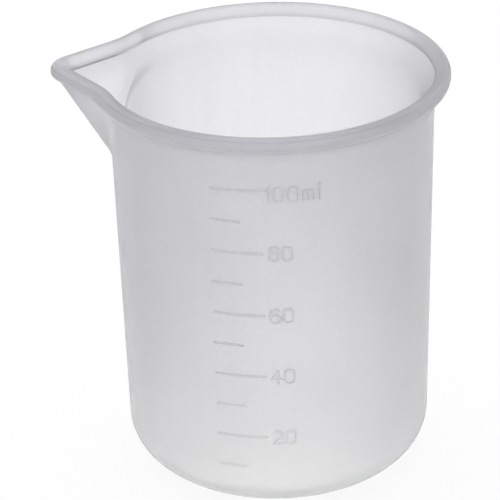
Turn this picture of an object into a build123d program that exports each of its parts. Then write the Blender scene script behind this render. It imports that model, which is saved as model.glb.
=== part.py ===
from build123d import *
from math import asin, atan2, cos, degrees, hypot, pi, sin, sqrt
import os

os.makedirs("parts", exist_ok=True)

# A frosted silicone mixing cup with a pouring spout and a moulded scale.
# Millimetres. The origin is on the cup's axis at its underside, +Z is up,
# the spout points along -X and the scale faces -Y.

# Wall and floor
height = 69.0
wall = 2.0
wall_top_radius = 26.3
foot_radius = 25.4
foot_round = 6.9
floor = 3.0
floor_round = 5.0

# Lip: a round edge on the end of the flare
lip_thickness = 2.6
lip_overhang = 2.6
lip_step = 0.8
flare_height = 3.7
under_lip_share = 0.48
lip_bite_share = 0.1

# Spout: a solid wedge outside, a shallow trough inside
spout_overhang = 7.0
spout_width = 21.5
spout_tip_round = 4.0
spout_blend = 12.0
spout_drop = 14.1
spout_wall_blend = 1.5
keel_round = 2.0
trough_drop = 6.3
trough_sill_round = 1.5

# Scale: lines in relief on the outside of the wall, and what each one reads.
# The bore holds 100 ml up to the top line.
scale_step_ml = 10
scale_top_ml = 100
top_line_drop = 3.45
relief = 0.3
line_width = 0.45
line_crest = 0.28
line_start = -7.35
long_line = 8.6
short_line = 5.05

# Numbers, beside the long lines
number_gap = 0.65
digit_height = 2.7
digit_width = 1.8
digit_gap = 0.3
one_width = 0.75
stroke = 0.34
six_ring_share = 0.6
eight_upper_share = 0.5
eight_upper_width_share = 0.88
two_hook_degrees = (165, -200)
six_back_degrees = (40, 140)
top_number_gap = 0.35
top_digit_gap = 0.5
top_number_drop = 0.6
small_letter_height = 1.95
m_width = 2.05
l_height = 3.0

# Reach of a cutting or trimming shape past what it cuts
overrun = 1.0

# Levels and radii that follow from the sizes above
lip_edge = lip_thickness / 2
lip_level = height - lip_edge
lip_circle = wall_top_radius + lip_overhang - lip_edge
under_lip_radius = lip_circle + lip_edge * under_lip_share
under_lip_level = lip_level - lip_edge * sqrt(1 - under_lip_share**2)
flare_level = under_lip_level - flare_height
lip_bite = lip_edge * lip_bite_share
mouth_radius = lip_circle - lip_edge + lip_bite
mouth_level = lip_level - lip_step
taper = (wall_top_radius - foot_radius) / flare_level


def outside_radius(level):
    """Radius of the wall's outer face at a level."""
    return foot_radius + taper * level


# The spout is a V in plan. On the middle line of the lip its sides run from the
# round of the tip to the two ends of its width. Every outline of it has that
# spread, and is set by how far its sharp corner is from the cup's axis.
rim_tip_round = spout_tip_round - lip_edge
tip_centre = wall_top_radius + lip_overhang + spout_overhang - spout_tip_round
side_end = (sqrt(lip_circle**2 - (spout_width / 2) ** 2), spout_width / 2)
tip_to_side_end = hypot(tip_centre - side_end[0], side_end[1])
half_spread = atan2(side_end[1], tip_centre - side_end[0]) - asin(rim_tip_round / tip_to_side_end)
rim_corner = tip_centre + rim_tip_round / sin(half_spread)
keel_level = lip_level - lip_edge
keel_reach = rim_corner - keel_round / sin(half_spread) + keel_round
keel_lean = (keel_reach - outside_radius(keel_level - spout_drop)) / spout_drop
trough_corner = rim_corner - (lip_edge - lip_bite) / sin(half_spread)
trough_tip_round = rim_tip_round - lip_edge + lip_bite
trough_foot_radius = outside_radius(mouth_level - trough_drop) - wall
trough_lean = (trough_corner - trough_foot_radius) / trough_drop

# The floor's rounding takes this much off the volume of the tapered bore
bore_foot = outside_radius(floor) - wall
round_centroid_share = (10 - 3 * pi) / (12 - 3 * pi)
round_path = 2 * pi * (bore_foot - floor_round * round_centroid_share)
round_volume = (1 - pi / 4) * floor_round**2 * round_path


def bore_volume(level):
    """Volume of the bore from its floor up to a level."""
    surface = outside_radius(level) - wall
    squares = bore_foot**2 + bore_foot * surface + surface**2
    return pi * (level - floor) * squares / 3 - round_volume


scale_top_volume = bore_volume(flare_level - top_line_drop)


def cup_level(reading):
    """Level of the liquid in the cup, where the scale gives that reading."""
    tapered_volume = scale_top_volume * reading / scale_top_ml + round_volume
    surface = (bore_foot**3 + 3 * taper * tapered_volume / pi) ** (1 / 3)
    return floor + (surface - bore_foot) / taper


def spout_plan(corner):
    """Corners of the spout's V in plan: its tip, and where its sides pass nearest to the axis."""
    nearest = corner * sin(half_spread)
    root = (nearest * sin(half_spread), nearest * cos(half_spread))
    return [(-corner, 0), (-root[0], -root[1]), (-root[0], root[1])]


def wall_angle(arc, level):
    """Angle round the axis of a place given by its arc length from the -Y side."""
    return arc / outside_radius(level) - pi / 2


def on_wall(arc, level):
    """Plane that touches the outside of the wall, X along it and Y upwards."""
    angle = wall_angle(arc, level)
    radius = outside_radius(level)
    return Plane(
        origin=(radius * cos(angle), radius * sin(angle), level),
        x_dir=(-sin(angle), cos(angle), 0),
        z_dir=(cos(angle), sin(angle), 0),
    )


# Middle line of the lip, round the mouth and the spout
with BuildSketch(Plane.XY.offset(lip_level)) as rim:
    Circle(lip_circle)
    Polygon(*spout_plan(rim_corner), align=None)
    fillet(rim.vertices().sort_by(Axis.X)[0], rim_tip_round)
    fillet(rim.vertices().sort_by(Axis.X)[2:4], spout_blend)
rim_path = rim.sketch.face().outer_wire()


# Cup: one moulding of floor, wall, flared lip and spout
with BuildPart() as cup:
    with BuildSketch(Plane.XZ) as outside:
        with BuildLine():
            Polyline((0, lip_level), (0, 0), (foot_radius, 0), (wall_top_radius, flare_level))
            TangentArc(
                (wall_top_radius, flare_level),
                (under_lip_radius, under_lip_level),
                tangent=(taper, 1),
            )
            Polyline(
                (under_lip_radius, under_lip_level),
                (under_lip_radius, lip_level),
                (0, lip_level),
            )
        make_face()
        foot = outside.vertices().group_by(Axis.Y)[0].sort_by(Axis.X)[-1]
        fillet(foot, foot_round)
    revolve(axis=Axis.Z)

    # Wedge under the spout, its keel running down into the wall
    wedge_drop = spout_drop + overrun
    with BuildSketch(Plane.XY.offset(keel_level - wedge_drop)) as spout_foot:
        Polygon(*spout_plan(rim_corner - keel_lean * wedge_drop), align=None)
        fillet(spout_foot.vertices().sort_by(Axis.X)[0], keel_round)
    with BuildSketch(Plane.XY.offset(lip_level)) as spout_top:
        Polygon(*spout_plan(rim_corner + keel_lean * lip_edge), align=None)
        fillet(spout_top.vertices().sort_by(Axis.X)[0], keel_round)
    loft(ruled=True)
    fillet(cup.edges(Select.NEW), spout_wall_blend)

    # Bore with a rounded floor and a bell mouth
    with BuildSketch(Plane.XZ) as inside:
        with BuildLine():
            Polyline(
                (0, lip_level + overrun),
                (0, floor),
                (outside_radius(floor) - wall, floor),
                (wall_top_radius - wall, flare_level),
            )
            TangentArc(
                (wall_top_radius - wall, flare_level),
                (mouth_radius, mouth_level),
                tangent=(taper, 1),
            )
            Polyline(
                (mouth_radius, mouth_level),
                (mouth_radius, lip_level + overrun),
                (0, lip_level + overrun),
            )
        make_face()
        corner = inside.vertices().group_by(Axis.Y)[0].sort_by(Axis.X)[-1]
        fillet(corner, floor_round)
    revolve(axis=Axis.Z, mode=Mode.SUBTRACT)

    # Trough of the spout, with an upright step under the lip
    cut_drop = trough_drop + overrun
    with BuildSketch(Plane.XY.offset(mouth_level - cut_drop)) as trough_foot:
        Polygon(*spout_plan(trough_corner - trough_lean * cut_drop), align=None)
        fillet(trough_foot.vertices().sort_by(Axis.X)[0], trough_tip_round)
    with BuildSketch(Plane.XY.offset(mouth_level)) as trough_top:
        Polygon(*spout_plan(trough_corner), align=None)
        fillet(trough_top.vertices().sort_by(Axis.X)[0], trough_tip_round)
    loft(ruled=True, mode=Mode.SUBTRACT)
    fillet(cup.edges(Select.NEW), trough_sill_round)
    extrude(trough_top.sketch, amount=lip_step + overrun, mode=Mode.SUBTRACT)

    # Round edge of the lip
    with BuildSketch(Plane(origin=rim_path @ 0, z_dir=rim_path % 0)):
        Circle(lip_edge)
    sweep(path=rim_path)

cup.part.label = "cup"
export_step(cup.part, "parts/cup.step")


# Graduation lines: long ones at every second step, short ones between them
def graduation_lines(name, readings, length):
    """Lines in relief that start at the scale's left edge, as one node."""
    with BuildPart() as lines:
        for reading in readings:
            level = cup_level(reading)
            angle = wall_angle(line_start, level)
            low = level - line_width / 2
            high = level + line_width / 2
            crest_radius = outside_radius(level) + relief
            section = Plane(
                origin=(0, 0, 0),
                x_dir=(cos(angle), sin(angle), 0),
                z_dir=(sin(angle), -cos(angle), 0),
            )
            with BuildSketch(section):
                Polygon(
                    (outside_radius(low), low),
                    (crest_radius, level - line_crest / 2),
                    (crest_radius, level + line_crest / 2),
                    (outside_radius(high), high),
                    align=None,
                )
            revolve(axis=Axis.Z, revolution_arc=degrees(length / outside_radius(level)))
    lines.part.label = name
    export_step(lines.part, f"parts/{name}.step")


long_readings = range(2 * scale_step_ml, scale_top_ml + 1, 2 * scale_step_ml)
short_readings = range(scale_step_ml, scale_top_ml, 2 * scale_step_ml)
graduation_lines("long_graduation_lines", long_readings, long_line)
graduation_lines("short_graduation_lines", short_readings, short_line)


# Numbers: round-ended strokes of a plain upright hand
def pen_stroke(path):
    """Ink one drawn line of the sketch at the stroke's width, with round ends."""
    trace(path.line, line_width=stroke)
    with Locations(path.line @ 0, path.line @ 1):
        Circle(stroke / 2)


def pen_line(start, end):
    with BuildLine() as path:
        Line(start, end)
    pen_stroke(path)


def pen_arc(middle, radius, start_angle, turn):
    with BuildLine() as path:
        CenterArc(middle, radius, start_angle, turn)
    pen_stroke(path)
    return path.line @ 1


def bowl(width, tall, middle):
    """A closed ring of one stroke's width, such as a nought or half an eight."""
    half = min(width, tall) / 2
    with Locations((0, middle)):
        RectangleRounded(width, tall, half - stroke / 4)
        RectangleRounded(
            width - 2 * stroke,
            tall - 2 * stroke,
            half - stroke * 5 / 4,
            mode=Mode.SUBTRACT,
        )


def draw_0():
    bowl(digit_width, digit_height, 0)


def draw_1():
    side = (one_width - stroke) / 2
    top = (digit_height - stroke) / 2
    pen_line((-side, top - side * 2), (side, top))
    pen_line((side, top), (side, -top))


def draw_2():
    side = (digit_width - stroke) / 2
    top = (digit_height - stroke) / 2
    neck = pen_arc((0, top - side), side, *two_hook_degrees)
    pen_line(neck, (-side, -top))
    pen_line((-side, -top), (side, -top))


def draw_4():
    side = (digit_width - stroke) / 2
    top = (digit_height - stroke) / 2
    pen_line((side / 3, top), (-side, -top / 3))
    pen_line((-side, -top / 3), (side, -top / 3))
    pen_line((side / 3, top), (side / 3, -top))


def draw_6():
    side = (digit_width - stroke) / 2
    top = (digit_height - stroke) / 2
    tall = digit_height * six_ring_share
    middle = (tall - digit_height) / 2
    bowl(digit_width, tall, middle)
    back = pen_arc((0, top - side), side, *six_back_degrees)
    pen_line(back, (-side, middle))


def draw_8():
    upper = digit_height * eight_upper_share
    lower = digit_height - upper + stroke
    bowl(digit_width * eight_upper_width_share, upper, (digit_height - upper) / 2)
    bowl(digit_width, lower, (lower - digit_height) / 2)


def draw_m():
    base = (stroke - digit_height) / 2
    leg = (m_width - stroke) / 2
    arch_level = base + small_letter_height - stroke - leg / 2
    pen_line((-leg, base), (-leg, arch_level + leg / 2))
    for start in (-leg, 0):
        shoulder = pen_arc((start + leg / 2, arch_level), leg / 2, 180, -180)
        pen_line(shoulder, (start + leg, base))


def draw_l():
    base = (stroke - digit_height) / 2
    pen_line((0, base), (0, base + l_height - stroke))


letters = {
    "0": (draw_0, digit_width),
    "1": (draw_1, one_width),
    "2": (draw_2, digit_width),
    "4": (draw_4, digit_width),
    "6": (draw_6, digit_width),
    "8": (draw_8, digit_width),
    "m": (draw_m, m_width),
    "l": (draw_l, stroke),
}


def label_on_wall(name, text, start, level, gap):
    """Letters in relief on the wall, from an arc length round to the right."""
    edge = start
    low = level - l_height
    high = level + l_height
    with BuildPart() as label:
        for letter in text:
            draw, width = letters[letter]
            with BuildSketch(on_wall(edge + width / 2, level)):
                draw()
            extrude(amount=2 * relief, both=True)
            edge += width + gap
        with BuildSketch(Plane.XZ):
            Polygon(
                (outside_radius(low), low),
                (outside_radius(low) + relief, low),
                (outside_radius(high) + relief, high),
                (outside_radius(high), high),
                align=None,
            )
        revolve(axis=Axis.Z, mode=Mode.INTERSECT)
    label.part.label = name
    export_step(label.part, f"parts/{name}.step")
    return edge


number_start = line_start + long_line + number_gap
for reading in long_readings[:-1]:
    label_on_wall(f"numeral_{reading}", str(reading), number_start, cup_level(reading), digit_gap)

top_start = line_start + long_line + top_number_gap
top_level = cup_level(scale_top_ml) - top_number_drop
unit_start = label_on_wall("numeral_100", str(scale_top_ml), top_start, top_level, top_digit_gap)
label_on_wall("unit_ml", "ml", unit_start, top_level, top_digit_gap)
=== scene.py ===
from math import acos, asin, atan2, cos, hypot, pi, radians, sin, sqrt

import bmesh
import bpy
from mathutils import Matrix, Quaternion, Vector


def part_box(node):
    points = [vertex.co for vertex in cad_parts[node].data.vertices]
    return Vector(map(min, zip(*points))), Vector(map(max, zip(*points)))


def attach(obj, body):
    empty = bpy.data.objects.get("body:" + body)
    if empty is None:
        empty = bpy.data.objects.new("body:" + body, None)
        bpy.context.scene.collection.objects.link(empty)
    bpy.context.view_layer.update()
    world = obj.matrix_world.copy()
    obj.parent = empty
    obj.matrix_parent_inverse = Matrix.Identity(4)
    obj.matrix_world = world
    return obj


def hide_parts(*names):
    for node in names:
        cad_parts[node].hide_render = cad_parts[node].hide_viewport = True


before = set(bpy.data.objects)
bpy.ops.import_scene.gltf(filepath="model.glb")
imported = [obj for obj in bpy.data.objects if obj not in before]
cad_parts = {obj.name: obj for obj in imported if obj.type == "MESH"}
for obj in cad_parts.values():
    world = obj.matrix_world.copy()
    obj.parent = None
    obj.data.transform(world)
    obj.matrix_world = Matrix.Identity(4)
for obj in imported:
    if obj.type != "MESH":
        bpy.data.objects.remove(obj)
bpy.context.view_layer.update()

# Camera. A long lens looks down into the cup from 0.4 m away, from the side with
# the scale and a little round from it, away from the spout.
camera_aim = Vector((-0.00413, -0.00053, 0.03589))
camera_azimuth = radians(-82.7)
camera_elevation = radians(27.38)
camera_distance = 0.4031
camera_roll = radians(-1.665)
lens_mm = 174.1
sensor_mm = 36.0
nearest_seen = 0.01

lens_data = bpy.data.cameras.new("camera")
lens_data.sensor_width = sensor_mm
lens_data.lens = lens_mm
lens_data.clip_start = nearest_seen
camera = bpy.data.objects.new("camera", lens_data)
bpy.context.collection.objects.link(camera)
towards_camera = Vector(
    (
        cos(camera_elevation) * cos(camera_azimuth),
        cos(camera_elevation) * sin(camera_azimuth),
        sin(camera_elevation),
    )
)
camera.location = camera_aim + towards_camera * camera_distance
camera.rotation_mode = "QUATERNION"
level_turn = (-towards_camera).to_track_quat("-Z", "Y")
camera.rotation_quaternion = level_turn @ Quaternion((0, 0, 1), camera_roll)
bpy.context.scene.camera = camera


# Cup. One thin moulding of frosted, translucent silicone: floor, tapered wall,
# flared mouth with a thick round lip, and a pouring spout whose wedge runs down
# into the wall. It comes off the mould in one piece, so it has no seam.
cup_low, cup_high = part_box("cup")
lip_edge = 0.0013
lip_step = 0.0008
lip_overhang = 0.0026
lip_level = cup_high.z - lip_edge
lip_circle = cup_high.x - lip_edge
wall = 0.0020
wall_top_radius = cup_high.x - lip_overhang
foot_radius = 0.0254
foot_round = 0.0069
floor_level = 0.0030
floor_round = 0.0050

under_lip_share = 0.48
flare_height = 0.0037
under_lip = (lip_circle + lip_edge * under_lip_share, lip_level - lip_edge * sqrt(1 - under_lip_share**2))
flare_level = under_lip[1] - flare_height
taper = (wall_top_radius - foot_radius) / flare_level
mouth_bite_share = 0.90
mouth = (lip_circle - lip_edge * mouth_bite_share, lip_level - lip_step)

# The spout is a V in plan, outside and inside. Each V leans back to the wall below.
spout_tip_reach = -cup_low.x
spout_half_width = 0.01075
rim_tip_round = 0.0027
rim_blend = 0.0008
keel_drop = 0.0141
keel_round = 0.0020
keel_blend = 0.0011
trough_drop = 0.0063
trough_tip_round = 0.0015
trough_blend = 0.0005
spout_under_lip_share = 0.10
spout_share_blend = 0.0030

tip_centre = spout_tip_reach - lip_edge - rim_tip_round
side_start = sqrt(lip_circle**2 - spout_half_width**2)
side_span = hypot(tip_centre - side_start, spout_half_width)
half_spread = atan2(spout_half_width, tip_centre - side_start) - asin(rim_tip_round / side_span)
rim_corner = tip_centre + rim_tip_round / sin(half_spread)
keel_level = lip_level - lip_edge
keel_foot = keel_level - keel_drop
keel_reach = rim_corner - keel_round / sin(half_spread) + keel_round
keel_lean = (keel_reach - foot_radius - taper * keel_foot) / keel_drop
trough_corner = rim_corner - lip_edge * mouth_bite_share / sin(half_spread)
trough_foot = mouth[1] - trough_drop
trough_lean = (trough_corner - foot_radius - taper * trough_foot + wall) / trough_drop


def wall_radius(level):
    """Radius of the outside of the wall."""
    return foot_radius + taper * level


def spout_radius(turn, corner, tip_round):
    """Distance from the axis to the spout's V in plan, at an angle from its middle."""
    turn = abs(turn)
    centre = corner - tip_round / sin(half_spread)
    tip_end = atan2(tip_round * cos(half_spread), centre + tip_round * sin(half_spread))
    if turn < tip_end:
        return centre * cos(turn) + sqrt(tip_round**2 - (centre * sin(turn)) ** 2)
    nearest = corner * sin(half_spread)
    past = half_spread + turn - pi / 2
    if past < 0:
        return nearest / cos(past)
    return nearest * (1 - past**2 / 2)


def larger(first, second, blend):
    """The larger of two radii, with a soft change between them."""
    share = min(max(0.5 + (first - second) / (2 * blend), 0), 1)
    return second + (first - second) * share + blend * share * (1 - share)


def on_plan(turn, radius):
    """A place in plan, from its angle round the cup and its distance from the axis."""
    return Vector((-radius * cos(turn), -radius * sin(turn)))


def rim_point(turn):
    """Middle line of the lip, round the mouth and the spout."""
    return on_plan(turn, larger(spout_radius(turn, rim_corner, rim_tip_round), lip_circle, rim_blend))


def rim_normal(turn):
    """Direction straight out from the lip's middle line, in plan."""
    small = 0.0005
    along = rim_point(turn + small) - rim_point(turn - small)
    return Vector((along.y, -along.x)).normalized() * (-1 if along.cross(rim_point(turn)) > 0 else 1)


def turn_of(point):
    """Angle of a place in plan from the middle of the spout."""
    return atan2(-point.y, -point.x)


def tangent_arc(start, end, steps):
    """Points of an arc that leaves the wall's line at start and bends outwards to end."""
    along = Vector((taper, 1)).normalized()
    outwards = Vector((along.y, -along.x))
    chord = Vector(end) - Vector(start)
    radius = chord.length_squared / (2 * chord.dot(outwards))
    sweep = 2 * asin(chord.length / (2 * radius))
    points = []
    for step in range(1, steps + 1):
        angle = sweep * step / steps
        points.append(Vector(start) + along * radius * sin(angle) + outwards * radius * (1 - cos(angle)))
    return points


def spaced(start, end, steps):
    """Levels from start to end, without start."""
    return [start + (end - start) * step / steps for step in range(1, steps + 1)]


# Angles round the cup from the middle of the spout, closer together at the spout
column_count = 360
spout_density = 0.32
columns = []
for number in range(column_count):
    way_round = 2 * number / column_count - 1
    columns.append(pi * way_round * (spout_density + (1 - spout_density) * abs(way_round)))

rim_points = [rim_point(turn) for turn in columns]
rim_normals = [rim_normal(turn) for turn in columns]
spout_shares = []
lip_starts = []
for turn in columns:
    excess = spout_radius(turn, rim_corner, rim_tip_round) - lip_circle
    spout_share = min(max(0.5 + excess / spout_share_blend, 0), 1)
    spout_shares.append(spout_share)
    lip_starts.append(under_lip_share + (spout_under_lip_share - under_lip_share) * spout_share)

outer_turns = []
inner_turns = []
for point, normal, start in zip(rim_points, rim_normals, lip_starts):
    outer_turns.append(turn_of(point + normal * lip_edge * start))
    inner_turns.append(turn_of(point - normal * lip_edge * mouth_bite_share))


def outside_ring(radius, level, top_share=0):
    """One level of the outside. On the flare, top_share lets it follow the lip's underside."""
    ring = []
    for turn, start in zip(outer_turns, lip_starts):
        lip_underside = lip_level - lip_edge * sqrt(1 - start**2)
        height = level + (lip_underside - under_lip[1]) * top_share
        reach = radius
        if height > keel_foot - 2 * keel_blend:
            corner = rim_corner - keel_lean * (keel_level - height)
            reach = larger(spout_radius(turn, corner, keel_round), radius, keel_blend)
        ring.append((*on_plan(turn, reach), height))
    return ring


def inside_ring(radius, level):
    """One level of the inside, from the mouth down."""
    ring = []
    for turn in inner_turns:
        reach = radius
        if level > trough_foot - 2 * trough_blend:
            corner = trough_corner - trough_lean * (mouth[1] - level)
            reach = larger(spout_radius(turn, corner, trough_tip_round), radius, trough_blend)
        ring.append((*on_plan(turn, reach), level))
    return ring


# How white the silicone is drawn at each point, with painted light and shade in it: 1
# over the solid floor, less in the thin wall, less again in the lip, whose tone is
# painted shade, and 0 for the painted shadow in the step inside the spout. Painted
# shade makes it a little deeper on the spout's side of the cup and on the side
# opposite the spout.
floor_milk = 1.0
wall_milk = 0.6
bell_milk = 0.5
lip_shade_level = 0.3
step_shadow_level = 0.0
# Painted light and shade: a white glow up the foot, the rim's shade coming in over the upper wall, and shade
# at the cup's two sides
foot_glow_top = 0.030
lip_shade_foot = 0.056
foot_side_shade = 0.32
wall_side_shade = 0.09
rings = []
milk_and_painted_shade = []


def lay_ring(ring, milk_and_shade):
    """Add a ring, with one milkiness and painted shade for all of it or one for each of its points."""
    rings.append(ring)
    milk_and_painted_shade.append(milk_and_shade if isinstance(milk_and_shade, list) else [milk_and_shade] * column_count)


def soft_step(value, start, end):
    """From 0 at start to 1 at end, easing in and out."""
    share = min(max((value - start) / (end - start), 0), 1)
    return share * share * (3 - 2 * share)


def milk_at(level, rim_milk_and_shade):
    """Milkiness round the wall at a level, from the floor's on its way to that of the rim, with a painted
    glow at the foot and painted shade at the sides.
    """
    risen = soft_step(level, 0, foot_glow_top)
    near_rim = soft_step(level, lip_shade_foot, mouth[1])
    milk_and_shade_round = []
    for turn in columns:
        sideways = cos(turn) ** 2
        foot_glow_and_shade = floor_milk - foot_side_shade * sideways
        milk_and_shade = foot_glow_and_shade + (wall_milk - wall_side_shade * sideways - foot_glow_and_shade) * risen
        milk_and_shade_round.append(milk_and_shade + (rim_milk_and_shade - wall_side_shade * sideways - milk_and_shade) * near_rim)
    return milk_and_shade_round


# Underside and rounded foot
foot_steps = 14
foot_end = -atan2(taper, 1)
foot_centre = foot_radius + taper * foot_round - foot_round * sqrt(1 + taper**2)
for share in (0.3, 0.6, 0.85, 0.97):
    lay_ring(outside_ring(foot_centre * share, 0), floor_milk)
for step in range(foot_steps + 1):
    angle = -pi / 2 + (foot_end + pi / 2) * step / foot_steps
    level = foot_round * (1 + sin(angle))
    lay_ring(outside_ring(foot_centre + foot_round * cos(angle), level), milk_at(level, lip_shade_level))

# Wall and flare, in finer steps where the wedge of the spout comes out of the wall
wedge_zone = 0.048
for level in spaced(foot_round, wedge_zone, 20) + spaced(wedge_zone, flare_level, 40):
    lay_ring(outside_ring(wall_radius(level), level), milk_at(level, lip_shade_level))
flare_start = (wall_top_radius, flare_level)
for radius, level in tangent_arc(flare_start, under_lip, 14)[:-1]:
    top_share = (level - flare_level) / flare_height
    lay_ring(outside_ring(radius, level, top_share), milk_at(level, lip_shade_level))

# Round lip, from its underside over the top to the step inside, its tone painted
# shade. The side away from the scale has a painted dark outer edge and a painted
# highlight inside it, along the spout as well. The mould parts along two fine
# grooves, and painted shade darkens them.
lip_steps = 48
lip_end = 2 * pi - acos(-mouth_bite_share)
groove_steps = (19, 26)
groove_depth = 0.00002
groove_shade = 0.18
outer_lip_shade = lip_shade_level + 0.03
darkest_lip_shade = 0.02
top_shade = 0.11
top_degrees = (60, 115)
far_edge_shade = 0.20
far_lip_highlight = 0.70
far_highlight_degrees = (74, 138)
far_spout_delay_degrees = 30
far_spout_along = (0.0232, 0.0258)
far_spout_across = (0.001, 0.004)
far_spout_share = 0.75
side_shade = 0.08
side_reach = (0.012, 0.026)
inner_shade = 0.05
far_spout_inner_shade = 0.21
inner_degrees = (158, 195)


def lip_point_milk(point, angle):
    """Painted shade and highlight of the lip, by a point of its middle line and an angle over its round
    edge.
    """
    topward = soft_step(angle, radians(top_degrees[0]), radians(top_degrees[1]))
    near_lip_shade = outer_lip_shade - top_shade * topward
    far_spout = soft_step(-point.x, *far_spout_along) * soft_step(point.y, *far_spout_across)
    highlight_from = radians(far_highlight_degrees[0] + far_spout_delay_degrees * far_spout)
    highlight_share = soft_step(angle, highlight_from, radians(far_highlight_degrees[1]))
    far_lip_shade_and_highlight = far_edge_shade + (far_lip_highlight - far_edge_shade) * highlight_share
    far_share = max(far_spout_share * far_spout, soft_step(point.y, *side_reach))
    milk_and_shade = near_lip_shade + (far_lip_shade_and_highlight - near_lip_shade) * far_share
    milk_and_shade -= side_shade * soft_step(abs(point.x), *side_reach) * (1 - far_spout)
    inner = soft_step(angle, radians(inner_degrees[0]), radians(inner_degrees[1]))
    milk_and_shade -= (inner_shade + far_spout_inner_shade * far_spout) * inner
    return max(milk_and_shade, darkest_lip_shade)


for step in range(lip_steps + 1):
    ring = []
    milk_and_shade_round = []
    edge = lip_edge - groove_depth if step in groove_steps else lip_edge
    for point, normal, start in zip(rim_points, rim_normals, lip_starts):
        angle = -acos(start) + (lip_end + acos(start)) * step / lip_steps
        ring.append((*(point + normal * edge * cos(angle)), lip_level + edge * sin(angle)))
        milk_and_shade_round.append(lip_point_milk(point, angle))
    if step in groove_steps:
        milk_and_shade_round = [min(milk_and_shade, groove_shade) for milk_and_shade in milk_and_shade_round]
    lay_ring(ring, milk_and_shade_round)

# Upright step under the lip, with painted shadow on it and on the ring below it,
# darkest inside the spout. Rings close to its corners hold them sharp.
corner_hold = 0.00005
round_step_shade = 0.56
below_round_step_shade = 0.44
below_spout_step_shadow = 0.06
under_step = (mouth[0] - 3 * corner_hold, mouth[1] - corner_hold)
step_shade = []
below_step_shade = []
for share in spout_shares:
    step_shade.append(round_step_shade + (step_shadow_level - round_step_shade) * share)
    below_step_shade.append(below_round_step_shade + (below_spout_step_shadow - below_round_step_shade) * share)
lay_ring([(x, y, z - corner_hold) for x, y, z in rings[-1]], step_shade)
lay_ring([(x, y, mouth[1] + corner_hold) for x, y, z in rings[-1]], step_shade)
lay_ring(inside_ring(*mouth), step_shade)
lay_ring(inside_ring(*under_step), below_step_shade)

# Bell mouth with the trough of the spout, and the bore, in finer steps at the trough.
# Painted shade darkens the wall along the sill of the trough, where the solid wedge is behind it.
trough_zone = 0.058
bore_round_top = floor_level + floor_round
sill_shade = 0.34
sill_shade_width = 0.0022
sill_shade_start = 0.3
sill_shade_tail = (0.5, 2.6)
sill_fade_drop = (0.0045, 0.0006)
sill_half_turn = 1.0


def sill_milk(radius, level, milk_and_shade_round):
    """Milkiness round a ring of the inside, with painted shade just outside the trough's V."""
    fade = soft_step(level, trough_foot - 2 * sill_shade_width, trough_foot - sill_shade_width / 2)
    fade *= 1 - soft_step(level, mouth[1] - sill_fade_drop[0], mouth[1] - sill_fade_drop[1])
    if fade == 0:
        return milk_and_shade_round
    corner = trough_corner - trough_lean * (mouth[1] - level)
    shades = []
    for turn, milk_and_shade in zip(inner_turns, milk_and_shade_round):
        beside = (radius - spout_radius(turn, corner, trough_tip_round)) / sill_shade_width
        band = soft_step(beside, 0, sill_shade_start) * (1 - soft_step(beside, *sill_shade_tail))
        shades.append(milk_and_shade - sill_shade * band * fade if abs(turn) < sill_half_turn else milk_and_shade)
    return shades


bore_start = (wall_top_radius - wall, flare_level)
for radius, level in reversed(tangent_arc(bore_start, mouth, 16)[:-1]):
    lay_ring(inside_ring(radius, level), sill_milk(radius, level, milk_at(level, bell_milk)))
for level in spaced(flare_level, trough_zone, 24) + spaced(trough_zone, bore_round_top, 22):
    radius = wall_radius(level) - wall
    lay_ring(inside_ring(radius, level), sill_milk(radius, level, milk_at(level, bell_milk)))

# Rounded corner of the floor, and the floor
floor_steps = 12
floor_centre = wall_radius(bore_round_top) - wall - floor_round
for step in range(1, floor_steps + 1):
    angle = -pi / 2 * step / floor_steps
    level = bore_round_top + floor_round * sin(angle)
    lay_ring(inside_ring(floor_centre + floor_round * cos(angle), level), milk_at(level, bell_milk))
for share in (0.95, 0.8, 0.5, 0.25):
    lay_ring(inside_ring(floor_centre * share, floor_level), floor_milk)

# One skin over all the rings, closed in the middle of the underside and of the floor
points = [(0, 0, 0)]
for ring in rings:
    points.extend(ring)
points.append((0, 0, floor_level))
faces = []
for column in range(column_count):
    after = (column + 1) % column_count
    faces.append((0, 1 + column, 1 + after))
    for number in range(len(rings) - 1):
        below = 1 + number * column_count
        above = below + column_count
        faces.append((below + column, above + column, above + after, below + after))
    last = 1 + (len(rings) - 1) * column_count
    faces.append((last + column, len(points) - 1, last + after))

cup_mesh = bpy.data.meshes.new("silicone_cup")
cup_mesh.from_pydata(points, [], faces)
shaper = bmesh.new()
shaper.from_mesh(cup_mesh)
bmesh.ops.recalc_face_normals(shaper, faces=shaper.faces)
shaper.to_mesh(cup_mesh)
shaper.free()
cup_mesh.shade_smooth()
milk_and_shade_layer = cup_mesh.attributes.new("milk_and_painted_shade", "FLOAT", "POINT")
milk_and_shade_values = [floor_milk]
for milk_and_shade_round in milk_and_painted_shade:
    milk_and_shade_values.extend(milk_and_shade_round)
milk_and_shade_values.append(floor_milk)
milk_and_shade_layer.data.foreach_set("value", milk_and_shade_values)
cup = bpy.data.objects.new("silicone_cup", cup_mesh)
bpy.context.collection.objects.link(cup)

# The frost of the mould's blasted steel: a fine matte grain, faint upright draw
# marks, a slow cloudiness in the silicone and a few specks of lint
grain_size = 0.00028
draw_mark_width = 0.0016
draw_mark_stretch = 30
cloud_size = 0.011
cloud_stretch = 1.5
lint_size = 0.00011
lint_cell = 0.0062
grain_shade = 0.25
draw_mark_shade = 0.05
cloud_shade = 0.12
matte_roughness = 0.50
grain_roughness = 0.12
cloud_roughness = 0.10
draw_mark_height = 0.5

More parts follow.
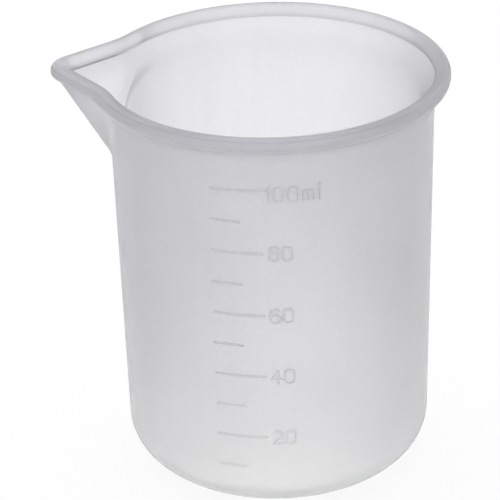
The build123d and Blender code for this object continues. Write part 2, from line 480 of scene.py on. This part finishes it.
frost = bpy.data.node_groups.new("silicone_frost", "ShaderNodeTree")
frost.interface.new_socket("Body Color", in_out="INPUT", socket_type="NodeSocketColor")
frost.interface.new_socket("Cloudiness", in_out="INPUT", socket_type="NodeSocketFloat")
frost.interface.new_socket("Color", in_out="OUTPUT", socket_type="NodeSocketColor")
frost.interface.new_socket("Roughness", in_out="OUTPUT", socket_type="NodeSocketFloat")
frost.interface.new_socket("Height", in_out="OUTPUT", socket_type="NodeSocketFloat")
frost_in = frost.nodes.new("NodeGroupInput")
frost_out = frost.nodes.new("NodeGroupOutput")
spot_on_piece = frost.nodes.new("ShaderNodeTexCoord")


def frost_math(operation, first, second):
    """One sum inside the frost group. Each term is a number or an output socket."""
    node = frost.nodes.new("ShaderNodeMath")
    node.operation = operation
    for socket, term in zip(node.inputs, (first, second)):
        if isinstance(term, (int, float)):
            socket.default_value = term
        else:
            frost.links.new(term, socket)
    return node.outputs[0]


def frost_noise(feature, stretch, detail):
    """Noise about zero with features of a size in metres, drawn out upwards by stretch."""
    spread = frost.nodes.new("ShaderNodeMapping")
    spread.inputs["Scale"].default_value = (1 / feature, 1 / feature, 1 / feature / stretch)
    frost.links.new(spot_on_piece.outputs["Object"], spread.inputs["Vector"])
    noise = frost.nodes.new("ShaderNodeTexNoise")
    noise.inputs["Scale"].default_value = 1.0
    noise.inputs["Detail"].default_value = detail
    frost.links.new(spread.outputs["Vector"], noise.inputs["Vector"])
    return frost_math("SUBTRACT", noise.outputs[0], 0.5)


grain = frost_noise(grain_size, 1, 2)
draw_marks = frost_noise(draw_mark_width, draw_mark_stretch, 2)
clouds = frost_noise(cloud_size, cloud_stretch, 3)

fine_shade = frost_math(
    "ADD",
    frost_math("MULTIPLY", grain, grain_shade),
    frost_math("MULTIPLY", draw_marks, draw_mark_shade),
)
frost_shade = frost_math("ADD", fine_shade, frost_math("MULTIPLY", clouds, cloud_shade))
lightness = frost_math("ADD", 1.0, frost_math("MULTIPLY", frost_shade, frost_in.outputs["Cloudiness"]))
clouded = frost.nodes.new("ShaderNodeVectorMath")
clouded.operation = "SCALE"
frost.links.new(frost_in.outputs["Body Color"], clouded.inputs[0])
frost.links.new(lightness, clouded.inputs["Scale"])

lint = frost.nodes.new("ShaderNodeTexVoronoi")
lint.inputs["Scale"].default_value = 1 / lint_cell
frost.links.new(spot_on_piece.outputs["Object"], lint.inputs["Vector"])
speck = frost_math("LESS_THAN", lint.outputs["Distance"], lint_size / lint_cell)
linted = frost.nodes.new("ShaderNodeMix")
linted.data_type = "RGBA"
linted.inputs["B"].default_value = (1, 1, 1, 1)
frost.links.new(speck, linted.inputs["Factor"])
frost.links.new(clouded.outputs["Vector"], linted.inputs["A"])
frost.links.new(linted.outputs["Result"], frost_out.inputs["Color"])

rough_sum = frost_math(
    "ADD",
    frost_math("MULTIPLY", grain, grain_roughness),
    frost_math("MULTIPLY", clouds, cloud_roughness),
)
frost.links.new(frost_math("ADD", matte_roughness, rough_sum), frost_out.inputs["Roughness"])
relief_sum = frost_math("ADD", grain, frost_math("MULTIPLY", draw_marks, draw_mark_height))
frost.links.new(relief_sum, frost_out.inputs["Height"])


def frosted_material(name, cloudiness, grain_height):
    """A see-through silicone with the frost on it, without its body colour."""
    material = bpy.data.materials.new(name)
    material.use_nodes = True
    nodes = material.node_tree.nodes
    links = material.node_tree.links
    surface = nodes["Principled BSDF"]
    frosting = nodes.new("ShaderNodeGroup")
    frosting.name = "frosting"
    frosting.node_tree = frost
    frosting.inputs["Cloudiness"].default_value = cloudiness
    bump = nodes.new("ShaderNodeBump")
    bump.inputs["Distance"].default_value = grain_height
    links.new(frosting.outputs["Color"], surface.inputs["Base Color"])
    links.new(frosting.outputs["Roughness"], surface.inputs["Roughness"])
    links.new(frosting.outputs["Height"], bump.inputs["Height"])
    links.new(bump.outputs["Normal"], surface.inputs["Normal"])
    surface.inputs["IOR"].default_value = 1.41
    return material


# The body colour follows the milkiness and the painted shade: white over the solid
# floor, clearer in the thin wall, painted shade on the thick lip, and a dark painted
# shadow in the spout's step
step_shadow_color = (0.25, 0.25, 0.28, 1)
shaded_lip_color = (0.745, 0.745, 0.775, 1)
wall_color = (0.813, 0.811, 0.833, 1)
floor_color = (1.0, 1.0, 1.0, 1)
silicone = frosted_material("frosted_silicone", 1.0, 0.00002)
nodes = silicone.node_tree.nodes
links = silicone.node_tree.links
nodes["Principled BSDF"].inputs["Transmission Weight"].default_value = 0.95
milk_and_shade_reader = nodes.new("ShaderNodeAttribute")
milk_and_shade_reader.attribute_name = "milk_and_painted_shade"
body = nodes.new("ShaderNodeValToRGB")
stops = body.color_ramp.elements
stops[0].position = step_shadow_level
stops[0].color = step_shadow_color
stops[1].position = floor_milk
stops[1].color = floor_color
stops.new(lip_shade_level).color = shaded_lip_color
stops.new(wall_milk).color = wall_color
links.new(milk_and_shade_reader.outputs["Fac"], body.inputs["Fac"])
links.new(body.outputs["Color"], nodes["frosting"].inputs["Body Color"])
cup_mesh.materials.append(silicone)

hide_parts("cup")
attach(cup, "root")


# Graduation lines. Low ridges of silicone on the outside of the wall, cut into
# the mould and cast with the cup: a long one at every 20 ml, a short one between.
relief = 0.0003
line_foot = 0.00048
line_crest = 0.00016
line_start = -0.00735
long_line = 0.0086
short_line = 0.00505
ridge_cell = 0.00006
ridge_sunk = 0.00004
ridge_back = 0.00010

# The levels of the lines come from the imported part. Between them the tapered bore
# holds equal volumes, so its radius grows by equal steps of its cube.
lines_low, lines_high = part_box("long_graduation_lines")
packed_line_width = 0.00045
level_20 = lines_low.z + packed_line_width / 2
level_100 = lines_high.z - packed_line_width / 2


def scale_level(reading):
    """Level of the liquid in the cup where the scale gives that reading."""
    cube_20 = (wall_radius(level_20) - wall) ** 3
    cube_100 = (wall_radius(level_100) - wall) ** 3
    surface = (cube_20 + (cube_100 - cube_20) * (reading - 20) / 80) ** (1 / 3)
    return (surface + wall - foot_radius) / taper


def on_wall(arc, level, rise):
    """A place on the wall by its arc length from the middle of the scale's side."""
    angle = arc / wall_radius(level) - pi / 2
    radius = wall_radius(level) + rise
    return (radius * cos(angle), radius * sin(angle), level)


def stroke_distance(spot, strokes):
    """How far a place is from the nearest of some strokes, each a row of points."""
    nearest = 1.0
    for stroke in strokes:
        for start, end in zip(stroke, stroke[1:]):
            along = end - start
            share = min(max((spot - start).dot(along) / along.length_squared, 0), 1)
            nearest = min(nearest, (spot - start - along * share).length)
    return nearest


def ridges(strokes, crest, foot):
    """Cells of a fine net on the wall that rise over the strokes and dip under the wall beside them."""
    points = [point for stroke in strokes for point in stroke]
    low = Vector((min(point.x for point in points), min(point.y for point in points)))
    high = Vector((max(point.x for point in points), max(point.y for point in points)))
    margin = foot / 2 + 2 * ridge_cell
    across = int((high.x - low.x + 2 * margin) / ridge_cell) + 1
    upwards = int((high.y - low.y + 2 * margin) / ridge_cell) + 1
    rises = {}
    for column in range(across + 1):
        for row in range(upwards + 1):
            spot = low + Vector((column * ridge_cell - margin, row * ridge_cell - margin))
            away = stroke_distance(spot, strokes)
            if away < margin:
                slope = soft_step(away, crest / 2, foot / 2)
                rises[column, row] = (spot, relief - (relief + ridge_sunk) * slope)
    cells = []
    for column, row in rises:
        corners = [(column, row), (column + 1, row), (column + 1, row + 1), (column, row + 1)]
        if all(corner in rises for corner in corners):
            cells.append(corners)
    return rises, cells


# The ridges stand on a wall that has frosted the light already, so they are clearer
raised_silicone = frosted_material("raised_silicone", 0.5, 0.00001)
nodes = raised_silicone.node_tree.nodes
nodes["Principled BSDF"].inputs["Transmission Weight"].default_value = 0.96
nodes["Principled BSDF"].inputs["IOR"].default_value = 1.32
nodes["frosting"].inputs["Body Color"].default_value = (0.99, 0.99, 1.0, 1)


def relief_piece(name, node, shapes, crest, foot):
    """One closed mesh of ridges for a node of the scale."""
    shaper = bmesh.new()
    for strokes in shapes:
        rises, cells = ridges(strokes, crest, foot)
        used = sorted({corner for corners in cells for corner in corners})
        tops = {}
        backs = {}
        for corner in used:
            spot, rise = rises[corner]
            tops[corner] = shaper.verts.new(on_wall(spot.x, spot.y, rise))
            backs[corner] = shaper.verts.new(on_wall(spot.x, spot.y, -ridge_back))
        sides = set()
        for corners in cells:
            shaper.faces.new([tops[corner] for corner in corners])
            shaper.faces.new([backs[corner] for corner in reversed(corners)])
            for start, end in zip(corners, corners[1:] + corners[:1]):
                if (end, start) in sides:
                    sides.remove((end, start))
                else:
                    sides.add((start, end))
        for start, end in sorted(sides):
            shaper.faces.new([tops[end], tops[start], backs[start], backs[end]])
    bmesh.ops.recalc_face_normals(shaper, faces=shaper.faces)
    mesh = bpy.data.meshes.new(name)
    shaper.to_mesh(mesh)
    shaper.free()
    mesh.shade_smooth()
    mesh.materials.append(raised_silicone)
    piece = bpy.data.objects.new(name, mesh)
    bpy.context.collection.objects.link(piece)
    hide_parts(node)
    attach(piece, "root")


def line_at(reading, length):
    """The stroke of one graduation line."""
    level = scale_level(reading)
    cap = line_foot / 2
    return [[Vector((line_start + cap, level)), Vector((line_start + length - cap, level))]]


long_lines = [line_at(reading, long_line) for reading in range(20, 101, 20)]
short_lines = [line_at(reading, short_line) for reading in range(10, 100, 20)]
relief_piece("long_line_ridges", "long_graduation_lines", long_lines, line_crest, line_foot)
relief_piece("short_line_ridges", "short_graduation_lines", short_lines, line_crest, line_foot)


# Numbers. The same low ridges, drawn as the plain round-ended strokes of a mould
# maker's engraving pen, one number beside each long line and ml after the top one.
number_gap = 0.00065
digit_height = 0.0027
digit_width = 0.0018
digit_gap = 0.0003
one_width = 0.00075
pen_width = 0.00034
pen_crest = 0.00012
pen_foot = 0.00040
pen_step_degrees = 12
bowl_tightness = 0.75
six_bowl_share = 0.6
eight_top_share = 0.88
top_number_gap = 0.00035
top_digit_gap = 0.0005
top_number_drop = 0.0006
small_letter_height = 0.00195
m_width = 0.00205
l_height = 0.0030
side = (digit_width - pen_width) / 2
top = (digit_height - pen_width) / 2


def pen_arc(middle, radius, start_degrees, turn_degrees):
    """A round stroke of the pen."""
    steps = max(4, int(abs(turn_degrees) / pen_step_degrees))
    stroke = []
    for step in range(steps + 1):
        angle = radians(start_degrees + turn_degrees * step / steps)
        stroke.append(Vector((middle[0] + radius * cos(angle), middle[1] + radius * sin(angle))))
    return stroke


def pen_lines(*corners):
    """A straight stroke of the pen, or a row of them."""
    return [Vector(corner) for corner in corners]


def bowl(width, tall, middle):
    """A closed ring, such as a nought or half an eight."""
    half_width = (width - pen_width) / 2
    half_height = (tall - pen_width) / 2
    turn = min(width, tall) / 2 - bowl_tightness * pen_width
    stroke = []
    for quarter, (across, upwards) in enumerate(((1, 1), (-1, 1), (-1, -1), (1, -1))):
        centre = (across * (half_width - turn), middle + upwards * (half_height - turn))
        stroke.extend(pen_arc(centre, turn, 90 * quarter, 90))
    return stroke + stroke[:1]


def draw_0():
    return [bowl(digit_width, digit_height, 0)]


def draw_1():
    lean = (one_width - pen_width) / 2
    return [pen_lines((-lean, top - lean * 2), (lean, top), (lean, -top))]


def draw_2():
    hook = pen_arc((0, top - side), side, 165, -200)
    return [hook + pen_lines((-side, -top), (side, -top))]


def draw_4():
    return [
        pen_lines((side / 3, top), (-side, -top / 3), (side, -top / 3)),
        pen_lines((side / 3, top), (side / 3, -top)),
    ]


def draw_6():
    tall = digit_height * six_bowl_share
    middle = (tall - digit_height) / 2
    back = pen_arc((0, top - side), side, 40, 140)
    return [bowl(digit_width, tall, middle), back + pen_lines((-side, middle))]


def draw_8():
    upper = digit_height / 2
    lower = digit_height - upper + pen_width
    return [
        bowl(digit_width * eight_top_share, upper, (digit_height - upper) / 2),
        bowl(digit_width, lower, (lower - digit_height) / 2),
    ]


def draw_m():
    base = (pen_width - digit_height) / 2
    leg = (m_width - pen_width) / 2
    arch = base + small_letter_height - pen_width - leg / 2
    strokes = [pen_lines((-leg, base), (-leg, arch + leg / 2))]
    for start in (-leg, 0):
        strokes.append(pen_arc((start + leg / 2, arch), leg / 2, 180, -180) + pen_lines((start + leg, base)))
    return strokes


def draw_l():
    base = (pen_width - digit_height) / 2
    return [pen_lines((0, base), (0, base + l_height - pen_width))]


letters = {
    "0": (draw_0, digit_width),
    "1": (draw_1, one_width),
    "2": (draw_2, digit_width),
    "4": (draw_4, digit_width),
    "6": (draw_6, digit_width),
    "8": (draw_8, digit_width),
    "m": (draw_m, m_width),
    "l": (draw_l, pen_width),
}


def label_ridges(name, node, text, edge, level, gap):
    """Letters in relief on the wall, from an arc length round to the right."""
    shapes = []
    for letter in text:
        draw, width = letters[letter]
        centre = Vector((edge + width / 2, level))
        shapes.append([[centre + point for point in stroke] for stroke in draw()])
        edge += width + gap
    relief_piece(name, node, shapes, pen_crest, pen_foot)
    return edge


number_start = line_start + long_line + number_gap
for reading in (20, 40, 60, 80):
    name = f"number_{reading}_ridges"
    label_ridges(name, f"numeral_{reading}", str(reading), number_start, scale_level(reading), digit_gap)
top_start = line_start + long_line + top_number_gap
top_level = level_100 - top_number_drop
unit_start = label_ridges("number_100_ridges", "numeral_100", "100", top_start, top_level, top_digit_gap)
label_ridges("ml_ridges", "unit_ml", "ml", unit_start, top_level, top_digit_gap)


# Floor. A plain white sweep that runs out of the picture on every side. What the
# camera sees of it is white, less the cup's soft shadow.
floor_size = 3.0
floor_cells = 8
floor_gap = 0.00005
floor_mesh = bpy.data.meshes.new("floor")
shaper = bmesh.new()
bmesh.ops.create_grid(shaper, x_segments=floor_cells, y_segments=floor_cells, size=floor_size / 2)
shaper.to_mesh(floor_mesh)
shaper.free()
floor = bpy.data.objects.new("floor", floor_mesh)
bpy.context.collection.objects.link(floor)
floor.location.z = -floor_gap


def camera_looks(nodes, links):
    """One where a ray is the camera's own, comes by way of the cup, or is either of these."""
    path = nodes.new("ShaderNodeLightPath")
    by_cup = nodes.new("ShaderNodeMath")
    by_cup.operation = "MAXIMUM"
    links.new(path.outputs["Is Glossy Ray"], by_cup.inputs[0])
    links.new(path.outputs["Is Transmission Ray"], by_cup.inputs[1])
    seen = nodes.new("ShaderNodeMath")
    seen.operation = "MAXIMUM"
    links.new(path.outputs["Is Camera Ray"], seen.inputs[0])
    links.new(by_cup.outputs[0], seen.inputs[1])
    return {"straight": path.outputs["Is Camera Ray"], "by_cup": by_cup.outputs[0], "seen": seen.outputs[0]}


# Seen straight, most of the paper's white is its own glow and the light adds the
# rest, so the shadow stays faint. Seen by way of the cup it glows at full white.
paper_white = (0.85, 0.85, 0.85, 1)
seen_paper = (0.18, 0.18, 0.18, 1)
floor_glow = 0.85
paper = bpy.data.materials.new("white_paper")
paper.use_nodes = True
nodes = paper.node_tree.nodes
links = paper.node_tree.links
surface = nodes["Principled BSDF"]
surface.inputs["Roughness"].default_value = 1.0
surface.inputs["Specular IOR Level"].default_value = 0.0
surface.inputs["Emission Color"].default_value = (1, 1, 1, 1)
looks = camera_looks(nodes, links)
glow = nodes.new("ShaderNodeMath")
glow.operation = "MULTIPLY"
glow.inputs[1].default_value = floor_glow
links.new(looks["seen"], glow.inputs[0])
full_glow = nodes.new("ShaderNodeMath")
full_glow.operation = "MULTIPLY_ADD"
full_glow.inputs[1].default_value = 1 - floor_glow
links.new(looks["by_cup"], full_glow.inputs[0])
links.new(glow.outputs[0], full_glow.inputs[2])
links.new(full_glow.outputs[0], surface.inputs["Emission Strength"])
paper_tone = nodes.new("ShaderNodeMix")
paper_tone.data_type = "RGBA"
paper_tone.inputs["A"].default_value = paper_white
paper_tone.inputs["B"].default_value = seen_paper
links.new(looks["seen"], paper_tone.inputs["Factor"])
links.new(paper_tone.outputs["Result"], surface.inputs["Base Color"])
floor_mesh.materials.append(paper)


# Light. A white room that is brighter behind the cup than in front of it, and one
# broad soft lamp above. The camera sees the room as white, and by way of the cup
# it sees a room that dims towards the sides.
front_strength = 0.4
back_strength = 1.1
side_strength = 0.7
depth_span = 0.8
side_span = (0.1, 0.9)
world = bpy.data.worlds.new("room")
bpy.context.scene.world = world
world.use_nodes = True
nodes = world.node_tree.nodes
links = world.node_tree.links
room = nodes["Background"]
room.inputs["Color"].default_value = (1, 1, 1, 1)
direction = nodes.new("ShaderNodeTexCoord")
parts = nodes.new("ShaderNodeSeparateXYZ")
links.new(direction.outputs["Generated"], parts.inputs[0])
depth = nodes.new("ShaderNodeMapRange")
depth.interpolation_type = "SMOOTHSTEP"
depth.inputs["From Min"].default_value = -depth_span
depth.inputs["From Max"].default_value = depth_span
depth.inputs["To Min"].default_value = front_strength
depth.inputs["To Max"].default_value = back_strength
links.new(parts.outputs["Y"], depth.inputs["Value"])
sideways = nodes.new("ShaderNodeMath")
sideways.operation = "ABSOLUTE"
links.new(parts.outputs["X"], sideways.inputs[0])
sides = nodes.new("ShaderNodeMapRange")
sides.interpolation_type = "SMOOTHSTEP"
sides.inputs["From Min"].default_value = side_span[0]
sides.inputs["From Max"].default_value = side_span[1]
sides.inputs["To Min"].default_value = 1.0
sides.inputs["To Max"].default_value = side_strength
links.new(sideways.outputs[0], sides.inputs["Value"])
looks = camera_looks(nodes, links)
looked_at = nodes.new("ShaderNodeMath")
looked_at.operation = "MAXIMUM"
links.new(looks["straight"], looked_at.inputs[0])
links.new(sides.outputs["Result"], looked_at.inputs[1])
brightness = nodes.new("ShaderNodeMix")
brightness.data_type = "FLOAT"
links.new(looks["seen"], brightness.inputs["Factor"])
links.new(depth.outputs["Result"], brightness.inputs["A"])
links.new(looked_at.outputs[0], brightness.inputs["B"])
links.new(brightness.outputs["Result"], room.inputs["Strength"])

lamp_place = Vector((-0.1, -0.1, 0.8))
lamp_size = 0.6
lamp_watts = 1.0
cup_middle = Vector((0, 0, lip_level / 2))
lamp_data = bpy.data.lights.new("top_light", "AREA")
lamp_data.shape = "DISK"
lamp_data.size = lamp_size
lamp_data.energy = lamp_watts
lamp = bpy.data.objects.new("top_light", lamp_data)
bpy.context.collection.objects.link(lamp)
lamp.location = lamp_place
lamp.rotation_mode = "QUATERNION"
lamp.rotation_quaternion = (cup_middle - lamp_place).to_track_quat("-Z", "Y")

bpy.context.scene.view_settings.view_transform = "Standard"
